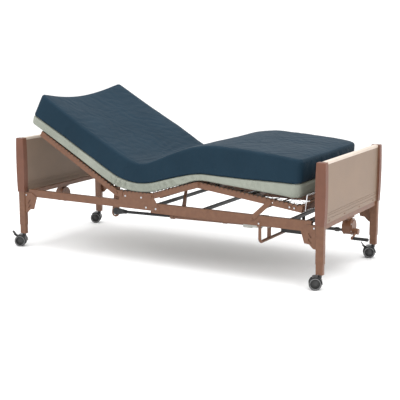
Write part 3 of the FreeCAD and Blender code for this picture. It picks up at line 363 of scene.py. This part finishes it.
def profile_line(which):
    """Smooth line through the stations: side-view x and z for distances along the deck."""
    places = extended([row[0] for row in STATIONS])
    xs = extended([row[which][0] for row in STATIONS])
    zs = extended([row[which][1] for row in STATIONS])
    offsets = np.linspace(-SMOOTH_REACH, SMOOTH_REACH, SMOOTH_SAMPLES)

    def line(s):
        x = np.mean([np.interp(s + o, places, xs) for o in offsets], axis=0)
        z = np.mean([np.interp(s + o, places, zs) for o in offsets], axis=0)
        return x, z
    return line


underside, two_tone, top_line = (profile_line(which) for which in (UNDERSIDE, TWO_TONE, TOP))


def outline(inset):
    """Plan outline of the mattress: a rectangle with round corners, drawn in by an inset."""
    corners = ((S_END, -1, FOOT_CORNER, 1, 0), (S_START, 1, HEAD_CORNER, 1, 90),
               (S_START, 1, HEAD_CORNER, -1, 180), (S_END, -1, FOOT_CORNER, -1, 270))
    points = []
    for end, inward, corner, sy, start in corners:
        centre_s, centre_y = end + inward * corner, sy * (HALF_WIDTH - corner)
        reach = corner - inset
        for i in range(CORNER_STEPS + 1):
            turn = math.radians(start + 90 * i / CORNER_STEPS)
            points.append((centre_s + reach * math.cos(turn), centre_y + reach * math.sin(turn)))
    return points


def block(profile):
    """Closed block in (s, y, level) space from a side profile of (inset, level) points."""
    vertices = [(s, y, level) for inset, level in profile for s, y in outline(inset)]
    return vertices, skin(len(profile), len(vertices) // len(profile))


def round_edge(inset, level, radius, upper):
    """Quarter circle between the side wall and the top (or bottom) face."""
    arc = []
    for i in range(EDGE_STEPS + 1):
        turn = math.pi / 2 * i / EDGE_STEPS
        arc.append((inset + radius * (1 - math.cos(turn)), level - radius * (1 - math.sin(turn))))
    return arc if upper else [(drawn_in, 2 * level - height) for drawn_in, height in reversed(arc)]


def apply_modifiers(made):
    graph = bpy.context.evaluated_depsgraph_get()
    mesh = bpy.data.meshes.new_from_object(made.evaluated_get(graph))
    made.modifiers.clear()
    made.data = mesh


def even_mesh(name, vertices, faces, material):
    """Closed mesh of even, nearly square faces."""
    made = mesh_object(name, vertices, faces, material)
    remesh = made.modifiers.new("even", "REMESH")
    remesh.mode = "VOXEL"
    remesh.voxel_size = VOXEL
    apply_modifiers(made)
    return made


def get_points(made):
    flat = np.empty(len(made.data.vertices) * 3)
    made.data.vertices.foreach_get("co", flat)
    return flat.reshape(-1, 3)


def set_points(made, points):
    made.data.vertices.foreach_set("co", np.asarray(points, float).ravel())
    made.data.update()


def ripple(s, y, seed):
    """Slow, seeded unevenness of a soft surface, between about -1 and 1."""
    rng = np.random.default_rng(seed)
    total = np.zeros_like(s)
    for _ in range(9):
        along, across = rng.uniform(3, 16, 2)
        height = rng.uniform(0.3, 1.0)
        total += (height * np.sin(along * s + rng.uniform(0, 6.3))
                  * np.sin(across * y + rng.uniform(0, 6.3)))
    return total / 3.5


# the two layers as flat blocks before they are bent: gap between them and size of a mesh face
LAYER_GAP = 0.0006
VOXEL = 0.011

# the slack of the cover: the width of its held rim and how firmly rim and foam hold it, the room
# left for it to swell, the share of the simulated movement that is kept, and the most it may move
RIM, RIM_HOLD, FOAM_HOLD = 0.010, 0.9, 0.15
SWELL, SLACK_SHARE, SWELL_CAP = 0.003, 0.28, 0.010
EXTRA_CLOTH, CLOTH_PRESSURE = 0.03, 4.0
CLOTH_FRAMES = 20


def relax_over_foam(made, top, inset):
    """Let a slack cover swell and buckle over its foam, held along its upper rim, by a capped amount."""
    before = get_points(made)
    s, y, level = before.T
    beside = np.abs(y) > HALF_WIDTH - inset - RIM
    at_ends = (s < S_START + inset + RIM) | (s > S_END - inset - RIM)
    rim = (beside | at_ends) & (level > top - RIM)
    group = made.vertex_groups.new(name="held")
    group.add(np.flatnonzero(rim).tolist(), RIM_HOLD, "REPLACE")
    group.add(np.flatnonzero(~rim).tolist(), FOAM_HOLD, "REPLACE")
    cloth = made.modifiers.new("slack_cover", "CLOTH")
    settings = cloth.settings
    settings.use_pressure = True
    settings.uniform_pressure_force = CLOTH_PRESSURE
    settings.effector_weights.gravity = 0.0
    settings.quality = 4
    settings.mass = 0.3
    settings.bending_stiffness = 0.5
    settings.shrink_min = -EXTRA_CLOTH
    settings.vertex_group_mass = "held"
    settings.pin_stiffness = 1.0
    cloth.collision_settings.use_collision = False
    for step in range(1, CLOTH_FRAMES + 1):
        bpy.context.scene.frame_set(step)
    apply_modifiers(made)
    bpy.context.scene.frame_set(1)
    made.vertex_groups.clear()
    moved = (get_points(made) - before) * SLACK_SHARE
    length = np.linalg.norm(moved, axis=1)[:, None]
    set_points(made, before + moved * SWELL_CAP * np.tanh(length / SWELL_CAP) / np.maximum(length, 1e-9))


def mattress_layer(name, material, thickness, inset, lower_edge, upper_edge, slack=False):
    """One layer of the mattress as a flat block, with each point's place along, across and up it."""
    top = thickness - SWELL if slack else thickness
    profile = round_edge(inset, 0.0, lower_edge, False) + round_edge(inset, top, upper_edge, True)
    made = even_mesh(name, *block(profile), material)
    if slack:
        relax_over_foam(made, top, inset)
    s, y, level = get_points(made).T
    return made, s.copy(), y.copy(), np.maximum(level / thickness, 0)


def bend_layer(made, s, y, share, low, high, lower_by=0.0):
    """Lay a flat block between two profile lines."""
    low_x, low_z = low(s)
    high_x, high_z = high(s)
    set_points(made, np.stack([low_x + share * (high_x - low_x), y,
                               low_z + share * (high_z - low_z - lower_by)], axis=1))


up_back = Vector((-math.cos(BACK_SLOPE), 0, math.sin(BACK_SLOPE)))
along_thigh = Vector((math.cos(THIGH_SLOPE), 0, math.sin(THIGH_SLOPE)))
knee_slope = (THIGH_SLOPE + CALF_SLOPE) / 2
across_knee = Vector((math.cos(knee_slope), 0, math.sin(knee_slope)))

# where both layers are cut: a place on each cut and the direction towards the foot
CUTS = [
    (BACK_HINGE + up_back * 0.270, -up_back),
    (Vector((-0.190, 0, 0)), Vector((1, 0, 0))),
    (THIGH_HINGE + along_thigh * 0.205, along_thigh),
]
# each part's label, the section it hides, its two bodies and the places where it rides on each alone
SPANS = [
    ("back", "back", "mattress_back", "back", BACK_HINGE + up_back * 0.740, BACK_HINGE + up_back * 0.280),
    ("seat", "seat", "back", "frame", (-0.428, 0, 0.5), (-0.195, 0, 0.5)),
    ("thigh", "thigh", "frame", "thigh", (-0.185, 0, 0.5), (0.060, 0, 0.5)),
    ("foot", "calf", "thigh", "calf", KNEE - across_knee * 0.150, KNEE + across_knee * 0.150),
]


def cut(builder, number, keep_foot_side):
    """Cut a mesh at one of the cuts, keep one side and close it with a flat face."""
    place, normal = CUTS[number]
    everything = builder.verts[:] + builder.edges[:] + builder.faces[:]
    bmesh.ops.bisect_plane(builder, geom=everything, plane_co=place, plane_no=normal,
                           clear_inner=keep_foot_side, clear_outer=not keep_foot_side)
    rim = [e for e in builder.edges if e.is_boundary]
    filled = bmesh.ops.holes_fill(builder, edges=rim, sides=0)
    for face in filled["faces"]:
        face.smooth = False
    for edge in rim:
        if edge.is_valid:
            edge.smooth = False


def split_and_ride(made, layer):
    """Cut a mattress layer where it rides rigidly and keep each part as its own object, hiding the CAD section it
    stands for.
    """
    for index, (label, section, body_a, body_b, start, end) in enumerate(SPANS):
        mesh = made.data.copy()
        builder = bmesh.new()
        builder.from_mesh(mesh)
        if index > 0:
            cut(builder, index - 1, keep_foot_side=True)
        if index < len(CUTS):
            cut(builder, index, keep_foot_side=False)
        builder.to_mesh(mesh)
        builder.free()
        part = bpy.data.objects.new(made.name + "_" + label, mesh)
        bpy.context.scene.collection.objects.link(part)
        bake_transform(part)
        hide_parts("mattress_%s_%s" % (section, layer))
    bpy.data.objects.remove(made)


cover, cover_s, cover_y, cover_share = mattress_layer(
    "mattress_cover", BLUE_COVER, thickness=0.16, inset=0.003, lower_edge=0.004, upper_edge=0.012,
    slack=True)
base, base_s, base_y, base_share = mattress_layer(
    "mattress_base", GREY_BASE, thickness=0.05, inset=0.002, lower_edge=0.009, upper_edge=0.003)
bend_layer(cover, cover_s, cover_y, cover_share, two_tone, top_line)
bend_layer(base, base_s, base_y, base_share, underside, two_tone, lower_by=LAYER_GAP)


# how much higher the far side of the cover stands: distances along the deck and heights
FAR_SIDE_PLACES = (-0.82, -0.62, -0.42, -0.20, -0.05, 0.08, 0.22)
FAR_SIDE_LIFTS = (0.012, 0.020, 0.027, 0.031, 0.026, 0.010, 0.0)
FAR_SIDE_START = -0.15
# the hollow of its head end, the bend of its seat, and how deep the unevenness of each face is
HOLLOW_START, HOLLOW_DEPTH = -0.36, 0.046
BEND_PLACE, BEND_WIDTH = 0.06, 0.20
TOP_UNEVEN, SLACK_DEPTH, SIDE_UNEVEN = 0.004, 0.0020, 0.0022
PUCKER_DEPTH = 0.0095


def dress_cover():
    """Hollow at the head end, uneven sides and the slack of a cover in the bend of the seat."""
    points = get_points(cover)
    s, y, share = cover_s, cover_y, cover_share
    across = np.clip(np.abs(y) / HALF_WIDTH, 0, 1)
    head_end = np.clip((HOLLOW_START - s) / (BACK_RUN + HOLLOW_START), 0, 1)
    hollow = HOLLOW_DEPTH * head_end ** 1.4 * (1 - across ** 2) ** 1.3 * share
    lift = TOP_UNEVEN * ripple(s, y, 11) * share * (1 - across ** 6)
    valley = np.exp(-((s - BEND_PLACE) / BEND_WIDTH) ** 2)
    streaks = np.sin(s * 71 + 2.1 * np.sin(y * 7)) * np.sin(s * 23 + y * 5) * np.sin(y * 8 + 1.0)
    slack = SLACK_DEPTH * (valley + 0.3) * streaks * share * (1 - across ** 4)
    far = np.clip((y - FAR_SIDE_START) / (HALF_WIDTH - FAR_SIDE_START), 0, 1)
    far_lift = np.interp(s, FAR_SIDE_PLACES, FAR_SIDE_LIFTS) * far * far * (3 - 2 * far) * share
    points[:, 2] += lift + slack + far_lift - hollow
    points[:, 1] += np.sign(y) * SIDE_UNEVEN * ripple(s * 1.7, share * 0.4, 5) * across ** 8
    set_points(cover, points)


def dress_base():
    """Small upright puckers in the sides of the light base."""
    points = get_points(base)
    s, y, share = base_s, base_y, base_share
    across = np.clip(np.abs(y) / HALF_WIDTH, 0, 1) ** 10
    pucker = np.sin(s * 118 + 2.6 * np.sin(s * 19) + 2.8 * share)
    patches = np.clip(0.45 + 0.75 * np.sin(s * 9.3 + 0.6) * np.sin(s * 4.1 + 2.0), 0.2, 1)
    points[:, 1] += (np.sign(y) * PUCKER_DEPTH * (pucker - 0.5) * patches * across
                     * np.sin(np.pi * share))
    set_points(base, points)


dress_cover()
dress_base()
split_and_ride(cover, "cover")
split_and_ride(base, "base")


# ---- spring-steel link fabric of each deck section

# the fabric's height over the section's centre plane, its half width, and its links: radius of the
# wire, and how far the links along the deck and the ties across it wave sideways and up
FABRIC_LEVEL, FABRIC_EDGE, FABRIC_COLUMNS = 0.0115, 0.372, 10
LINK_WIRE, LINK_WAVE, TIE_WAVE = 0.0016, (0.004, 0.0015), (0.006, 0.0018)
# a side spring: radius, turns, radius of its wire, and the share of its length that each end takes
SPRING_RADIUS, SPRING_TURNS, SPRING_WIRE_RADIUS, SPRING_END = 0.0048, 9, 0.0011, 0.14
# the hooks' spacing and wire, and (distance across the deck, height) of the wire over a side tube
HOOK_PITCH, HOOK_WIRE = 0.028, 0.0017
HOOK_PATH = [(0.417, 0.0125), (0.419, 0.0212), (0.424, 0.0224), (0.440, 0.0224), (0.4465, 0.0215),
             (0.4478, 0.0180), (0.4478, 0.0120)]


def section_frame(origin, slope):
    """Place of a deck section: x along it, y across it, z out of it."""
    return Matrix.Translation(origin) @ Matrix.Rotation(-slope, 4, "Y")


def spring(start, end):
    """Close-wound tension spring from start to end, with straight ends."""
    start, end = Vector(start), Vector(end)
    along = (end - start).normalized()
    side = along.orthogonal().normalized()
    up = along.cross(side)
    length = (end - start).length
    straight = SPRING_END * length
    points = [start]
    count = SPRING_TURNS * 9
    for i in range(count + 1):
        turn = 2 * math.pi * SPRING_TURNS * i / count
        place = start + along * (straight + (length - 2 * straight) * i / count)
        points.append(place + SPRING_RADIUS * (math.cos(turn) * side + math.sin(turn) * up))
    points.append(end)
    return sweep(points, SPRING_WIRE_RADIUS, sides=5)


def link_fabric(section, place, x0, x1, rows, tube_y, body):
    """Rows and columns of wire links, with a spring from each end of a row to the side tube."""
    pitch_y = 2 * FABRIC_EDGE / FABRIC_COLUMNS
    pitch_x = (x1 - x0) / rows
    tie_side, tie_rise = TIE_WAVE
    link_side, link_rise = LINK_WAVE
    shapes = []
    for i in range(rows + 1):
        x = x0 + i * pitch_x
        for j in range(FABRIC_COLUMNS):
            y = -FABRIC_EDGE + j * pitch_y
            points = []
            for k in range(9):
                share = k / 8
                points.append((x + tie_side * math.sin(math.pi * 2 * share), y + pitch_y * share,
                               FABRIC_LEVEL + tie_rise * math.cos(2 * math.pi * share)))
            shapes.append(sweep(points, LINK_WIRE, sides=6))
        for sy in (-1, 1):
            shapes.append(spring((x, sy * (FABRIC_EDGE - 0.002), FABRIC_LEVEL),
                                 (x, sy * tube_y, FABRIC_LEVEL)))
    for j in range(FABRIC_COLUMNS + 1):
        y = -FABRIC_EDGE + j * pitch_y
        for i in range(rows):
            start = x0 + i * pitch_x
            points = [(start + pitch_x * k / 6, y + link_side * math.sin(math.pi * 2 * k / 6),
                       FABRIC_LEVEL - link_rise * math.cos(2 * math.pi * k / 6)) for k in range(7)]
            shapes.append(sweep(points, LINK_WIRE, sides=6))
    add_piece(section + "_link_fabric", shapes, SPRING_WIRE, body,
              section + "_link_deck", place)


def edge_hooks(section, place, x0, x1, body):
    """Wire hooks that carry the fabric's edge over both side tubes of a deck section."""
    count = round((x1 - x0) / HOOK_PITCH)
    shapes = []
    for i in range(count + 1):
        x = x0 + (x1 - x0) * i / count
        for sy in (-1, 1):
            shapes.append(sweep([(x, sy * y, z) for y, z in HOOK_PATH], HOOK_WIRE, sides=6))
    add_piece(section + "_edge_hooks", shapes, SPRING_WIRE, body, place=place)


back_place = section_frame(BACK_HINGE, -BACK_SLOPE)
seat_place = section_frame(BACK_HINGE, 0.0)
thigh_place = section_frame(THIGH_HINGE, THIGH_SLOPE)
calf_place = section_frame(KNEE, CALF_SLOPE)
link_fabric("back", back_place, -0.647, -0.043, 8, 0.419, "back")
link_fabric("seat", seat_place, 0.049, SEAT_LENGTH - 0.049, 2, 0.4155, "frame")
link_fabric("thigh", thigh_place, 0.043, THIGH_LENGTH - 0.039, 4, 0.416, "thigh")
link_fabric("calf", calf_place, 0.039, 0.659, 8, 0.418, "calf")
edge_hooks("back", back_place, -0.640, -0.060, "back")
edge_hooks("seat", seat_place, 0.030, SEAT_LENGTH - 0.030, "frame")
edge_hooks("thigh", thigh_place, 0.030, THIGH_LENGTH - 0.040, "thigh")
edge_hooks("calf", calf_place, 0.040, 0.670, "calf")


# ---- casters: treaded wheels with a light rim line and a hub cap

# a wheel's distance from the middle of its caster, and (radius, distance out from its inner face) of
# each of its parts
WHEEL_INNER_FACE, WHEEL_SEGMENTS, SPOKES = 0.0105, 56, 5
TYRE_PROFILE = [(0.0045, 0.0), (0.034, 0.0), (0.0372, 0.002), (0.038, 0.006), (0.038, 0.012),
                (0.0372, 0.016), (0.0345, 0.018), (0.0335, 0.0172), (0.0335, 0.0125), (0.0045, 0.0125)]
DISC_PROFILE = [(0.0290, 0.0126), (0.0290, 0.0150), (0.0130, 0.0146), (0.0118, 0.0172),
                (0.0080, 0.0178), (0.0010, 0.0180)]
RIM_PROFILE = [(0.0331, 0.0127), (0.0331, 0.0176), (0.0312, 0.0180), (0.0293, 0.0172),
               (0.0293, 0.0127)]


def wheel_part(profile, centre, out, ring=False):
    """One turned part of a wheel, from its inner face outwards."""
    turned = [(radius, WHEEL_INNER_FACE + along) for radius, along in profile]
    return lathe(turned, centre, out, WHEEL_SEGMENTS, ring=ring)


def caster_wheels(corner):
    """Tyres, discs with spokes and rim lines of the two wheels of a caster."""
    joint = next(j for j in frame["joints"] if j["name"] == "wheel_spin_" + corner)
    axis = Vector(joint["axis"]).normalized()
    centre = Vector(joint["pos_m"])
    across = axis.orthogonal().normalized()
    tyres, discs, rims = [], [], []
    for side in (-1, 1):
        out = axis * side
        tyres.append(wheel_part(TYRE_PROFILE, centre, out))
        discs.append(wheel_part(DISC_PROFILE, centre, out))
        for k in range(SPOKES):
            spoke = Matrix.Rotation(2 * math.pi * k / SPOKES, 4, axis) @ across
            middle = centre + out * (WHEEL_INNER_FACE + 0.0155)
            discs.append(sweep([middle + spoke * 0.012, middle + spoke * 0.028], 0.0016))
        rims.append(wheel_part(RIM_PROFILE, centre, out, ring=True))
    for label, shapes, material in (("tyres_", tyres, TYRE), ("wheel_discs_", discs, CASTER_PLASTIC),
                                    ("wheel_rims_", rims, RIM_PLASTIC)):
        add_piece(label + corner, shapes, material, "wheels_" + corner,
                  "caster_wheels_" + corner)


for corner in ("head_near", "head_far", "foot_near", "foot_far"):
    caster_wheels(corner)
    nodes["caster_swivel_" + corner].data.materials[0] = CASTER_PLASTIC


# ---- crank grip: ribbed handle

GRIP_RIBS = 9


def crank_grip():
    """Plastic handle with ribs round it."""
    low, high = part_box("crank_grip")
    centre = Vector((low.x, (low.y + high.y) / 2, (low.z + high.z) / 2))
    length, radius = high.x - low.x, (high.z - low.z) / 2
    profile = [(0.0045, 0.0), (radius * 0.82, 0.0), (radius, 0.004)]
    for i in range(GRIP_RIBS):
        start = 0.012 + (length - 0.03) * i / GRIP_RIBS
        profile += [(radius * 0.97, start), (radius * 0.86, start + 0.002), (radius * 0.86, start + 0.004),
                    (radius * 0.97, start + 0.006)]
    profile += [(radius, length - 0.008), (radius * 0.8, length - 0.001), (radius * 0.3, length)]
    add_piece("crank_grip_ribbed", [lathe(profile, centre, (1, 0, 0))], BLACK_PLASTIC,
              "grip_body", "crank_grip")


crank_grip()


# ---- edge bands along the top of the panels, and screw heads

# (radius, height above the face) of each head
PANEL_SCREW = [(0.0050, 0.0), (0.0050, 0.0012), (0.0038, 0.0024), (0.0008, 0.0028)]
GEARBOX_SCREW = [(0.0036, -0.0004), (0.0036, 0.0022), (0.0026, 0.0034), (0.0006, 0.0037)]
TUBE_BOLT = [(0.0058, -0.0005), (0.0058, 0.0014), (0.0042, 0.0030), (0.0008, 0.0034)]

PANEL_SCREW_PLACES = (-0.36, -0.12, 0.12, 0.36)
PANEL_SCREW_RISE = 0.012
BAND_OVERHANG, BAND_ARC_STEPS = 0.0005, 8


def edge_band(end):
    """Domed band over the top edge of a panel."""
    low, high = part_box(end + "_panel")
    centre = (low.x + high.x) / 2
    half = (high.x - low.x) / 2
    section = []
    for i in range(BAND_ARC_STEPS + 1):
        turn = math.pi * i / BAND_ARC_STEPS
        section.append((centre + (half + BAND_OVERHANG) * math.cos(turn),
                        high.z - 0.010 + 0.0118 * math.sin(turn) ** 0.6))
    section.append((centre - half - BAND_OVERHANG, high.z - 0.016))
    section.append((centre + half + BAND_OVERHANG, high.z - 0.016))
    vertices, faces = [], []
    count = len(section)
    for y in (low.y + BAND_OVERHANG, high.y - BAND_OVERHANG):
        vertices += [Vector((x, y, z)) for x, z in section]
    for k in range(count):
        nxt = (k + 1) % count
        faces.append((k, count + k, count + nxt, nxt))
    faces += [tuple(range(count)), tuple(reversed(range(count, 2 * count)))]
    band = mesh_object(end + "_edge_band", vertices, faces, EDGE_BAND, smooth=False)
    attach(band, "frame")


def panel_screws(end):
    """Screw heads near the lower edge of a panel, on its outer face."""
    low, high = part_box(end + "_panel")
    sign, face_x = (1, high.x) if end == "foot" else (-1, low.x)
    heads = [lathe(PANEL_SCREW, (face_x, y, low.z + PANEL_SCREW_RISE), (sign, 0, 0), 16)
             for y in PANEL_SCREW_PLACES]
    add_piece(end + "_panel_screws", heads, BROWN_PAINT, "frame")


for end in ("head", "foot"):
    edge_band(end)
    panel_screws(end)


# a gearbox's size, and the places of its bands and of the screws round its cover
GEARBOX_BOSS, GEARBOX_RADIUS, GEARBOX_LENGTH = 0.010, 0.050, 0.056
BAND_FOOT, BAND_TOP = GEARBOX_RADIUS - 0.001, GEARBOX_RADIUS + 0.0018
SCREW_CIRCLE, SCREW_ANGLES = 0.0455, (-30, 30, 90, 150, 210)


def gearbox_details():
    """Raised bands round each gearbox and cap screws round its cover."""
    low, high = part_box("gearbox_housings")
    bands, screws = [], []
    for sign in (-1, 1):
        face = Vector((sign * (high.x - GEARBOX_BOSS), 0, low.z + GEARBOX_RADIUS))
        for start in (0.0005, GEARBOX_LENGTH - 0.0065):
            bands.append(lathe([(BAND_FOOT, start), (BAND_TOP, start + 0.001), (BAND_TOP, start + 0.005),
                                (BAND_FOOT, start + 0.006)], face, (-sign, 0, 0), 48, ring=True))
        for angle in SCREW_ANGLES:
            turn = math.radians(angle)
            out = Vector((0, SCREW_CIRCLE * math.cos(turn), SCREW_CIRCLE * math.sin(turn)))
            screws.append(lathe(GEARBOX_SCREW, face + out, (sign, 0, 0), 14))
    add_piece("gearbox_bands", bands, BROWN_PAINT, "frame")
    add_piece("gearbox_screws", screws, ZINC, "frame")


gearbox_details()

CALF_BOLT_PLACES = (0.625, 0.655)


def calf_bolts():
    """Two bolt heads on the outer face of each calf tube, near the foot end."""
    low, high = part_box("calf_frame")
    heads = []
    for side, face_y in ((-1, low.y), (1, high.y)):
        for along in CALF_BOLT_PLACES:
            x, z = on_calf(along, 0.0)
            heads.append(lathe(TUBE_BOLT, (x, face_y, z), (0, side, 0), 16))
    add_piece("calf_tube_bolts", heads, ZINC, "calf")


calf_bolts()


# ---- floor, lamps and an even white surround

FLOOR_REACH, FLOOR_DROP = 120.0, 0.0005
SURROUND_STRENGTH = 1.2


def floor():
    """White studio floor, far wider than the view."""
    corners = [(x * FLOOR_REACH, y * FLOOR_REACH, 0) for x, y in ((-1, -1), (1, -1), (1, 1), (-1, 1))]
    white = finish("floor_finish", (0.95, 0.95, 0.95), (0.97, 0.97, 0.97), 0.80, scale=0.6)
    made = mesh_object("floor", corners, [(0, 1, 2, 3)], white)
    made.location.z = -FLOOR_DROP


def lamp(name, place, aim, size, power):
    """Rectangular studio lamp that shines from a place towards an aim."""
    light = bpy.data.lights.new(name, "AREA")
    light.shape = "RECTANGLE"
    light.size, light.size_y = size
    light.energy = power
    made = bpy.data.objects.new(name, light)
    made.location = place
    made.rotation_mode = "QUATERNION"
    made.rotation_quaternion = (Vector(aim) - Vector(place)).to_track_quat("-Z", "Y")
    bpy.context.scene.collection.objects.link(made)


floor()
lamp("overhead", (0.2, -0.4, 4.2), (0, 0, 0.4), (5.0, 4.0), 130)
lamp("front_left", (-3.0, -4.2, 2.6), (0, 0, 0.5), (2.4, 2.0), 25)
lamp("foot_side", (4.6, -1.4, 1.9), (0.6, 0, 0.5), (2.2, 1.8), 40)
world = bpy.data.worlds.new("studio")
world.use_nodes = True
world.node_tree.nodes["Background"].inputs["Color"].default_value = (1.0, 1.0, 1.0, 1)
world.node_tree.nodes["Background"].inputs["Strength"].default_value = SURROUND_STRENGTH
bpy.context.scene.world = world
